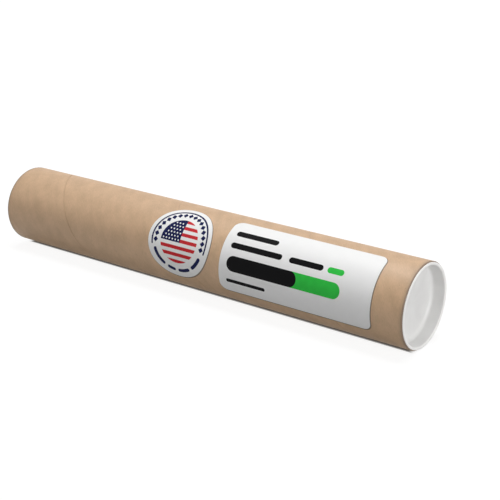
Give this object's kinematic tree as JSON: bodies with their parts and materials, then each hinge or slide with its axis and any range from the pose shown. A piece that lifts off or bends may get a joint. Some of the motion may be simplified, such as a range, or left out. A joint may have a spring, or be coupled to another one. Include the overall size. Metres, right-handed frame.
{
  "type": "mailing tube",
  "caption": "Spiral-wound kraft cardboard mailing tube with push-in recessed plastic end caps, a rounded paper label and a round paper sticker.",
  "frame": {"origin": "middle of the lower cap's rim, where the tube stands on end", "axes": "+Z along the tube's axis towards the upper cap, -Y out of the side that carries the label and the round sticker"},
  "size_m": [0.0802, 0.0804, 0.4866],
  "materials": {
    "kraft": "uncoated kraft paper, spiral wound, matt with fine fibres",
    "cap_plastic": "moulded white polyethylene, soft sheen",
    "label_paper": "smooth coated label paper, printed with plain fields of colour",
    "round_paper": "smooth coated label paper, printed with plain fields of colour"
  },
  "bodies": {
    "tube": {"tube": "kraft", "label": "label_paper", "round_sticker": "round_paper"},
    "top_cap": {"top_cap": "cap_plastic"},
    "bottom_cap": {"bottom_cap": "cap_plastic"}
  },
  "joints": [
    {"name": "top_cap_pull", "type": "slide", "parent": "tube", "child": "top_cap", "axis": [0, 0, 1], "range_m": [0, 0.1]},
    {"name": "bottom_cap_pull", "type": "slide", "parent": "tube", "child": "bottom_cap", "axis": [0, 0, -1], "range_m": [0, 0.1]}
  ]
}
